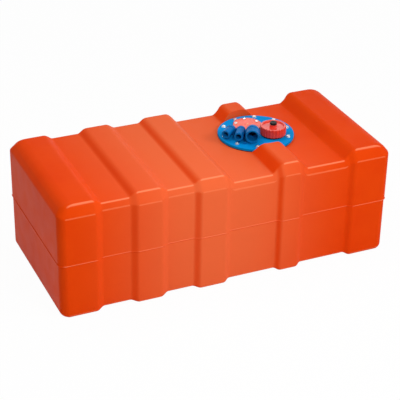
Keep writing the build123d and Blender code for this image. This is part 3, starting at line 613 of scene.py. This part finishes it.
# ---- plate gasket and seals --------------------------------------------------------------------
# A ring of black nitrile rubber is clamped between the plate and the pocket's floor. Smaller
# rings of the same rubber seal the sender, the neck, the cap and its vent valve, and the elbows.
RUBBER = moulded_plastic("nitrile_rubber", (0.012, 0.012, 0.012), (0.02, 0.02, 0.02),
                         (0.06, 0.06, 0.06), 0.65, specular=0.3)
for seal in ("plate_gasket", "sender_gasket", "neck_seal", "cap_gasket", "vent_ring",
             "filler_seal", "outlet_seal", "vent_seal"):
    dress(seal, RUBBER)

# ---- fitting plate -----------------------------------------------------------------------------
# The round plate is moulded in blue nylon and carries all the fittings. Ten screws round its
# rim draw it down on the gasket, over the hole in the pocket's floor.
PLATE_TOP, PLATE_RADIUS, PLATE_THICKNESS = 0.2585, 0.090, 0.006
PLATE_BASE = PLATE_TOP - PLATE_THICKNESS
NECK, NECK_RADIUS = (0.1875, 0.0005), 0.022
SENDER, SENDER_OPENING = (0.1530, 0.0675), 0.022
FILLER, OUTLET, VENT = (0.1370, 0.0055), (0.1195, 0.0295), (0.1020, 0.0425)
PLUG, PLUG_SHANK = (0.1065, -0.0155), 0.003
FILLER_STEM, SMALL_STEM = 0.0125, 0.0075
SCREW_COUNT, SCREW_CIRCLE, SCREW_START, SCREW_RADIUS = 10, 0.0785, -4.9, 0.003
SENDER_SCREW_COUNT, SENDER_SCREW_CIRCLE, SENDER_SCREW_START = 5, 0.027, 8.0
SENDER_SCREW_RADIUS = 0.0025
SCREW_PLAY, HOLE_PLAY, OVERCUT = 0.0003, 0.00005, 0.01
PLATE_PIN, PIN_PLAY = 0.0006, 0.0001


def softened(corners):
    """A profile's points (radius, height), from corners that also say how far before and after
    them the rounding starts."""
    points = []
    for number, (radius, height, setback) in enumerate(corners):
        here = Vector((radius, height))
        if setback == 0:
            points.append(here)
            continue
        before = Vector(corners[number - 1][:2]) - here
        after = Vector(corners[(number + 1) % len(corners)][:2]) - here
        start = here + before.normalized() * setback
        end = here + after.normalized() * setback
        for share in (0, 0.25, 0.5, 0.75, 1):
            points.append(start * (1 - share) ** 2 + here * 2 * share * (1 - share)
                          + end * share**2)
    return points


def open_circle(name, radius, centre, sides):
    """A level circle, all selected in edit mode, as a start to draw a piece from."""
    bpy.ops.object.select_all(action="DESELECT")
    bpy.ops.mesh.primitive_circle_add(vertices=sides, radius=radius, location=centre)
    piece = new_piece(name)
    bpy.ops.object.mode_set(mode="EDIT")
    bpy.ops.mesh.select_all(action="SELECT")
    return piece


def draw_upright(profile, place):
    """Draws the selected circle along a profile about the upright axis at this place."""
    for old, new in zip(profile, profile[1:]):
        growth = new[0] / old[0]
        bpy.ops.mesh.extrude_region_move(TRANSFORM_OT_translate={"value": (0, 0, new[1] - old[1])})
        bpy.ops.transform.resize(value=(growth, growth, 1), center_override=(*place, new[1]))


def turned_ring(name, place, corners, sides=96):
    """A piece turned about an upright axis: a circle drawn round its whole closed profile."""
    profile = softened(corners)
    radius, height = profile[0]
    piece = open_circle(name, radius, (*place, height), sides)
    draw_upright(profile + profile[:1], place)
    close_up()
    return piece


def close_up():
    """Merges what meets, points all faces outwards and leaves edit mode."""
    bpy.ops.mesh.select_all(action="SELECT")
    bpy.ops.mesh.remove_doubles(threshold=TINY / 2)
    bpy.ops.mesh.normals_make_consistent(inside=False)
    end_edit()


def close_pin_hole(piece, place, pin, heights):
    """Closes the thin hole round which a piece was turned: each end becomes a point."""
    start_edit(piece)
    for height in heights:
        pick(piece, "verts", lambda v: abs(v.co.z - height) < TINY
             and math.hypot(v.co.x - place[0], v.co.y - place[1]) < pin + PIN_PLAY)
        bpy.ops.mesh.merge(type="CENTER")
    pick(piece, "edges", lambda e: e.is_wire)
    bpy.ops.mesh.delete(type="EDGE")
    end_edit()


def join(pieces):
    """Joins loose pieces into the first of them."""
    select_only(*pieces)
    bpy.ops.object.join()
    return pieces[0]


def round_about(centre, radius, count, start=0.0):
    """Places spread evenly round a centre."""
    angles = [math.radians(start + 360 / count * number) for number in range(count)]
    return [(centre[0] + radius * math.cos(angle), centre[1] + radius * math.sin(angle))
            for angle in angles]


SCREW_PLACES = round_about(PLATE_PLACE, SCREW_CIRCLE, SCREW_COUNT, SCREW_START)
SENDER_SCREW_PLACES = round_about(SENDER, SENDER_SCREW_CIRCLE, SENDER_SCREW_COUNT,
                                  SENDER_SCREW_START)
plate = turned_ring("fitting_plate_moulding", PLATE_PLACE, (
    (PLATE_PIN, PLATE_BASE, 0), (PLATE_RADIUS, PLATE_BASE, 0.0004),
    (PLATE_RADIUS, PLATE_TOP, 0.0016), (PLATE_PIN, PLATE_TOP, 0)), sides=160)
close_pin_hole(plate, PLATE_PLACE, PLATE_PIN, (PLATE_BASE, PLATE_TOP))
holes = [(SENDER, SENDER_OPENING), (NECK, NECK_RADIUS), (FILLER, FILLER_STEM),
         (OUTLET, SMALL_STEM), (VENT, SMALL_STEM), (PLUG, PLUG_SHANK)]
holes += [(place, SCREW_RADIUS + SCREW_PLAY) for place in SCREW_PLACES]
holes += [(place, SENDER_SCREW_RADIUS) for place in SENDER_SCREW_PLACES]
cut_away(plate, join([
    add_drum("hole", radius + HOLE_PLAY, PLATE_BASE - OVERCUT, PLATE_TOP + OVERCUT, place, 48)
    for place, radius in holes]))
smooth_faces(plate, 40)
PLATE_BLUE = moulded_plastic("plate_nylon", (0.001, 0.28, 0.70), (0.001, 0.24, 0.62),
                             (0.02, 0.36, 0.74), 0.5, edge_radius=0.0012, specular=0.02)
dress(plate, PLATE_BLUE)
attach(plate, "tank")
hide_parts("fitting_plate")

# ---- screws and washers ------------------------------------------------------------------------
# Ten stainless socket screws with washers hold the plate, and five smaller ones the sender.
# The sender's bracket, pivot pin, wire arm and float clip are of the same steel.
SCREW_HEAD, SCREW_HEAD_HEIGHT, SCREW_LENGTH, WASHER_THICKNESS = 0.0042, 0.003, 0.020, 0.0008
SENDER_HEAD, SENDER_HEAD_HEIGHT, SENDER_SCREW_LENGTH = 0.0039, 0.002, 0.009
SENDER_TOP = 0.2619
SOCKET, SOCKET_DEPTH, SENDER_SOCKET_DEPTH = 0.0022, 0.0016, 0.0010
SCREW_PIN = 0.0003


def socket_screws(name, places, seat, head, head_height, shank, length, socket_depth):
    """Screws with a rounded head and a hexagon socket: one is made and then copied."""
    top = seat + head_height
    first = turned_ring(name, (0, 0), (
        (SCREW_PIN, seat - length, 0), (shank - 0.0005, seat - length, 0),
        (shank, seat - length + 0.0006, 0), (shank, seat, 0), (head, seat, 0.0002),
        (head, top, 0.0009), (SCREW_PIN, top, 0)), sides=32)
    close_pin_hole(first, (0, 0), SCREW_PIN, (seat - length, top))
    cut_away(first, add_drum("socket", SOCKET, top - socket_depth, top + OVERCUT, (0, 0), 6))
    copies = [first]
    for place in places[1:]:
        copy = first.copy()
        copy.data = first.data.copy()
        bpy.context.scene.collection.objects.link(copy)
        copy.location = (*place, 0)
        copies.append(copy)
    first.location = (*places[0], 0)
    settle(*copies)
    screws = join(copies)
    smooth_faces(screws, 35)
    return screws


plate_screws = socket_screws("plate_socket_screws", SCREW_PLACES, PLATE_TOP + WASHER_THICKNESS,
                             SCREW_HEAD, SCREW_HEAD_HEIGHT, SCREW_RADIUS, SCREW_LENGTH,
                             SOCKET_DEPTH)
sender_screws = socket_screws("sender_socket_screws", SENDER_SCREW_PLACES, SENDER_TOP,
                              SENDER_HEAD, SENDER_HEAD_HEIGHT, SENDER_SCREW_RADIUS,
                              SENDER_SCREW_LENGTH, SENDER_SOCKET_DEPTH)
STEEL = moulded_plastic("stainless_steel", (0.78, 0.78, 0.77), (0.66, 0.66, 0.65),
                        (0.88, 0.88, 0.88), 0.30, depth=0.00005)
STEEL.node_tree.nodes["Principled BSDF"].inputs["Metallic"].default_value = 1
for screws, node in ((plate_screws, "plate_screws"), (sender_screws, "sender_screws")):
    dress(screws, STEEL)
    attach(screws, "tank")
    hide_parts(node)
for fastener in ("plate_washers", "sender_bracket", "pivot_pin", "float_arm", "float_clip"):
    dress(fastener, STEEL)

# ---- level sender ------------------------------------------------------------------------------
# The sender is a red nylon disc, screwed to the plate. A strip bracket below it carries the
# resistor housing, whose contact is moved by a float on a wire arm.
SENDER_RED = moulded_plastic("sender_nylon", (0.92, 0.10, 0.05), (0.84, 0.08, 0.04),
                             (0.95, 0.25, 0.18), 0.25, edge_radius=0.0008, specular=0.4)
BLACK = moulded_plastic("black_nylon", (0.012, 0.012, 0.014), (0.02, 0.02, 0.02),
                        (0.05, 0.05, 0.05), 0.4, edge_radius=0.0008, specular=0.15)
dress("sender_flange", SENDER_RED)
dress("sender_resistor", BLACK)
dress("float_body", BLACK)

# ---- filler neck and cap -----------------------------------------------------------------------
# A black threaded neck stands on the plate, and a red fluted cap screws down over it. A black
# knob on the boss in the middle of the cap turns its vent valve.
CAP_BASE, CAP_TOP, CAP_ROOF, DISH_FLOOR, BOSS_TOP = 0.2630, 0.2830, 0.2765, 0.2800, 0.2850
CAP_RADIUS, CAP_BORE, DISH_RADIUS = 0.0305, 0.0244, 0.025
BOSS_RADIUS, SHANK_HOLE = 0.0085, 0.00305
FLUTE_COUNT, FLUTE_RADIUS, FLUTE_DEPTH = 24, 0.0023, 0.0016
THREAD_START, THREAD_LEAD, THREAD_HEIGHT, THREAD_ROOT = 0.2670, 0.005, 0.0014, 0.0024
KNOB_BASE, KNOB_TOP, KNOB_RADIUS = 0.2862, 0.2912, 0.0082
KNOB_SHANK, KNOB_SHANK_FOOT, KNOB_PIN = 0.003, 0.2772, 0.0012
KNOB_FLUTES, KNOB_FLUTE = 12, 0.0011
cap = turned_ring("filler_cap_moulding", NECK, (
    (CAP_BORE, CAP_BASE, 0), (CAP_RADIUS, CAP_BASE, 0.0005), (CAP_RADIUS, CAP_TOP, 0.0018),
    (DISH_RADIUS, CAP_TOP, 0.0009), (DISH_RADIUS - 0.0004, DISH_FLOOR, 0.0008),
    (BOSS_RADIUS, DISH_FLOOR, 0.0005), (BOSS_RADIUS, BOSS_TOP, 0.0006),
    (SHANK_HOLE, BOSS_TOP, 0), (SHANK_HOLE, CAP_ROOF, 0), (CAP_BORE, CAP_ROOF, 0)), sides=192)
cut_away(cap, join([
    add_drum("flute", FLUTE_RADIUS, CAP_BASE - 0.002, CAP_TOP + 0.002, place, 24)
    for place in round_about(NECK, CAP_RADIUS - FLUTE_DEPTH + FLUTE_RADIUS, FLUTE_COUNT)]))
apply_modifier(cap, "BEVEL", width=0.0003, segments=2, limit_method="ANGLE",
               angle_limit=math.radians(50))
# the thread is one turn of a small ridge, wound up the bore
bpy.ops.mesh.primitive_circle_add(vertices=4, radius=THREAD_ROOT / 2,
                                  rotation=(math.pi / 2, 0, 0))
thread = new_piece("cap_thread")
start_edit(thread)
pick(thread, "verts", lambda v: v.co.x < -TINY)
bpy.ops.transform.translate(value=(THREAD_ROOT / 2 - THREAD_HEIGHT, 0, 0))
bpy.ops.mesh.select_all(action="SELECT")
bpy.ops.transform.translate(value=(CAP_BORE, 0, THREAD_START))
end_edit()
apply_modifier(thread, "SCREW", axis="Z", angle=2 * math.pi, screw_offset=THREAD_LEAD, steps=64,
               render_steps=64)
thread.location = (*NECK, 0)
settle(thread)
start_edit(thread)
pick(thread, "edges", lambda e: e.is_boundary)
bpy.ops.mesh.edge_face_add()
close_up()
join([cap, thread])
smooth_faces(cap, 40)
knob = turned_ring("vent_knob_moulding", NECK, (
    (KNOB_PIN, KNOB_SHANK_FOOT, 0), (KNOB_SHANK, KNOB_SHANK_FOOT, 0.0003),
    (KNOB_SHANK, KNOB_BASE, 0), (KNOB_RADIUS, KNOB_BASE, 0.0004),
    (KNOB_RADIUS, KNOB_TOP, 0.0010), (KNOB_PIN, KNOB_TOP - 0.0004, 0),
    (KNOB_PIN, KNOB_BASE, 0)), sides=96)
cut_away(knob, join([
    add_drum("knob_flute", KNOB_FLUTE, KNOB_BASE - 0.001, KNOB_TOP + 0.002, place, 16)
    for place in round_about(NECK, KNOB_RADIUS, KNOB_FLUTES)]))
smooth_faces(knob, 40)
CAP_RED = moulded_plastic("cap_nylon", (0.84, 0.055, 0.030), (0.76, 0.042, 0.022),
                          (0.95, 0.28, 0.20), 0.22, edge_radius=0.0008)
for piece, node, body, material, slot in (
    (cap, "filler_cap", "cap", CAP_RED, "cap_red"),
    (knob, "vent_knob", "vent_valve", BLACK, "knob_black"),
):
    dress(piece, material)
    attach(piece, body)
    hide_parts(node)
dress("filler_neck", BLACK)
dress("neck_nut", BLACK)

# ---- hose elbows and plug ----------------------------------------------------------------------
# Three right-angle hose tails of blue nylon stand on the plate, and nuts draw them down from
# below. A small plug of the same nylon closes a spare hole beside them.
ELBOW_FOOT, FLANGE_BASE, FLANGE_TOP = 0.2415, 0.2595, 0.2621
STOP_HEIGHT, STOP_LENGTH, BEND_STEPS = 0.00117, 0.003, 16
# each elbow: its name, CAD node and place, its heading in degrees, its bore's height over the
# plate, its reach, and the radii of its hose tail, mouth, bore, stem and flange
ELBOWS = (
    ("filler_hose_elbow", "filler_elbow", FILLER, 243.0, 0.0225, 0.043,
     (0.016, 0.0125, 0.0095, FILLER_STEM, 0.0164)),
    ("outlet_hose_elbow", "outlet_elbow", OUTLET, 236.0, 0.0152, 0.046,
     (0.0105, 0.0065, 0.00505, SMALL_STEM, 0.0109)),
    ("vent_hose_elbow", "vent_elbow", VENT, 222.0, 0.0140, 0.040,
     (0.010, 0.006, 0.005, SMALL_STEM, 0.0109)),
)
ELBOW_BLUE = moulded_plastic("elbow_nylon", (0.001, 0.17, 0.48), (0.001, 0.13, 0.40),
                             (0.01, 0.30, 0.66), 0.3, edge_radius=0.0012, specular=0.06)


def hose_elbow(name, place, heading, height, reach, radii):
    """A hose tail: up through its flange, round the bend and out, then back down its bore."""
    hose, mouth, bore, stem, flange = radii
    level = PLATE_TOP + height
    bend = level - FLANGE_TOP
    column = softened((
        (stem, ELBOW_FOOT, 0), (stem, FLANGE_BASE, 0), (flange, FLANGE_BASE, 0.0002),
        (flange, FLANGE_TOP, 0.0006), (hose + 0.0006, FLANGE_TOP, 0), (hose, FLANGE_TOP, 0)))
    tail = softened((
        (hose, bend, 0), (hose + STOP_HEIGHT, bend + 0.0001, 0.0001),
        (hose + STOP_HEIGHT, bend + STOP_LENGTH, 0.0006), (hose, bend + STOP_LENGTH, 0.0005),
        (hose, reach, 0.0009), (mouth, reach, 0.0005), (mouth, bend + 0.0002, 0),
        (bore, bend, 0)))
    elbow = open_circle(name, stem, (0, 0, ELBOW_FOOT), 64)
    draw_upright(column, (0, 0))
    bpy.ops.mesh.spin(steps=BEND_STEPS, angle=math.pi / 2, center=(bend, 0, FLANGE_TOP),
                      axis=(0, -1, 0))
    for old, new in zip(tail, tail[1:]):
        growth = new[0] / old[0]
        bpy.ops.mesh.extrude_region_move(TRANSFORM_OT_translate={"value": (new[1] - old[1], 0, 0)})
        bpy.ops.transform.resize(value=(1, growth, growth), center_override=(new[1], 0, level))
    bpy.ops.mesh.spin(steps=BEND_STEPS, angle=-math.pi / 2, center=(bend, 0, FLANGE_TOP),
                      axis=(0, -1, 0))
    bpy.ops.mesh.extrude_region_move(
        TRANSFORM_OT_translate={"value": (0, 0, ELBOW_FOOT - FLANGE_TOP)})
    bpy.ops.mesh.extrude_region_move(TRANSFORM_OT_translate={"value": (0, 0, 0)})
    bpy.ops.transform.resize(value=(stem / bore, stem / bore, 1),
                             center_override=(0, 0, ELBOW_FOOT))
    close_up()
    elbow.rotation_euler = (0, 0, math.radians(heading))
    elbow.location = (*place, 0)
    settle(elbow)
    smooth_faces(elbow, 40)
    return elbow


for name, node, place, heading, height, reach, radii in ELBOWS:
    elbow = hose_elbow(name, place, heading, height, reach, radii)
    dress(elbow, ELBOW_BLUE)
    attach(elbow, "tank")
    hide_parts(node)
for fitting in ("filler_nut", "outlet_nut", "vent_nut", "blanking_plug"):
    dress(fitting, ELBOW_BLUE)

# ---- pickup ------------------------------------------------------------------------------------
# A tube of natural nylon hangs from the outlet elbow to near the tank's floor. Fuel is drawn
# up it, through the slotted strainer at its foot.
NATURAL = moulded_plastic("natural_nylon", (0.60, 0.60, 0.56), (0.5, 0.5, 0.44),
                          (0.75, 0.75, 0.72), 0.4)
dress("pickup_tube", NATURAL)
dress("pickup_strainer", NATURAL)

# ---- studio ------------------------------------------------------------------------------------
# A plain pale floor under a white surround, four soft lamps, and the camera. Floor and
# surround look white to the camera, while the lamps light the tank at a plain level.
FLOOR_SIZE, FLOOR_DROP, FLOOR_WHITENESS = 12, 0.0005, 0.97
SURROUND_LIGHT = 0.43
CAMERA_PLACE = (-1.14728, -2.55025, 1.69321)
CAMERA_TURN = (60.6661, -0.9463, -23.7464)
CAMERA_LENS, SENSOR_WIDTH = 123.0, 36


def seen_directly(tree, share):
    """This share where the camera looks, also by way of metal and glass, and 0 elsewhere."""
    path = tree.nodes.new("ShaderNodeLightPath")
    total = path.outputs["Is Camera Ray"]
    for ray in ("Is Glossy Ray", "Is Transmission Ray"):
        add = tree.nodes.new("ShaderNodeMath")
        add.operation = "ADD"
        add.use_clamp = True
        tree.links.new(total, add.inputs[0])
        tree.links.new(path.outputs[ray], add.inputs[1])
        total = add.outputs["Value"]
    seen = tree.nodes.new("ShaderNodeMath")
    seen.operation = "MULTIPLY"
    seen.inputs[1].default_value = share
    tree.links.new(total, seen.inputs[0])
    return seen.outputs["Value"]


def white_where_seen(tree, lit, white, output, share):
    """Mixes the white shader in, to this share, where the camera looks, over the lit one."""
    blend = tree.nodes.new("ShaderNodeMixShader")
    tree.links.new(seen_directly(tree, share), blend.inputs[0])
    tree.links.new(lit, blend.inputs[1])
    tree.links.new(white, blend.inputs[2])
    tree.links.new(blend.outputs["Shader"], tree.nodes[output].inputs["Surface"])


bpy.ops.mesh.primitive_plane_add(size=FLOOR_SIZE, location=(0, 0, -FLOOR_DROP))
floor = new_piece("studio_floor")
pale = bpy.data.materials.new("pale_floor")
pale.use_nodes = True
tree = pale.node_tree
shader = tree.nodes["Principled BSDF"]
shader.inputs["Base Color"].default_value = (0.85, 0.85, 0.85, 1)
shader.inputs["Roughness"].default_value = 0.9
glow = tree.nodes.new("ShaderNodeEmission")
glow.inputs["Strength"].default_value = 1
white_where_seen(tree, shader.outputs["BSDF"], glow.outputs["Emission"], "Material Output",
                 FLOOR_WHITENESS)
dress(floor, pale)

world = bpy.data.worlds.new("white_surround")
bpy.context.scene.world = world
world.use_nodes = True
tree = world.node_tree
soft = tree.nodes["Background"]
soft.inputs["Color"].default_value = (1, 1, 1, 1)
soft.inputs["Strength"].default_value = SURROUND_LIGHT
white = tree.nodes.new("ShaderNodeBackground")
white.inputs["Color"].default_value = (1, 1, 1, 1)
white.inputs["Strength"].default_value = 1
white_where_seen(tree, soft.outputs["Background"], white.outputs["Background"], "World Output", 1)


def add_lamp(name, place, target, size, power):
    """A square soft lamp that points at the target."""
    lamp = bpy.data.lights.new(name, "AREA")
    lamp.size = size
    lamp.energy = power
    stand = bpy.data.objects.new(name, lamp)
    bpy.context.scene.collection.objects.link(stand)
    stand.location = place
    aim = Vector(target) - Vector(place)
    stand.rotation_euler = aim.to_track_quat("-Z", "Y").to_euler()


add_lamp("main_lamp", (-0.08, -0.8, 1.0), (-0.1, 0, 0.2), size=0.15, power=4.0)
add_lamp("top_lamp", (-0.3, 0.25, 1.4), (-0.1, 0, 0.25), size=0.6, power=3.6)
add_lamp("side_lamp", (2.1, -1.7, 1.9), (0.1, 0, 0.15), size=0.8, power=32)
add_lamp("back_lamp", (1.43, 2.64, 1.67), (0.15, 0.05, 0.26), size=0.5, power=1)

lens = bpy.data.cameras.new("camera")
lens.lens = CAMERA_LENS
lens.sensor_width = SENSOR_WIDTH
camera = bpy.data.objects.new("camera", lens)
bpy.context.scene.collection.objects.link(camera)
camera.location = CAMERA_PLACE
camera.rotation_euler = [math.radians(turn) for turn in CAMERA_TURN]
bpy.context.scene.camera = camera
bpy.context.scene.view_settings.view_transform = "Standard"
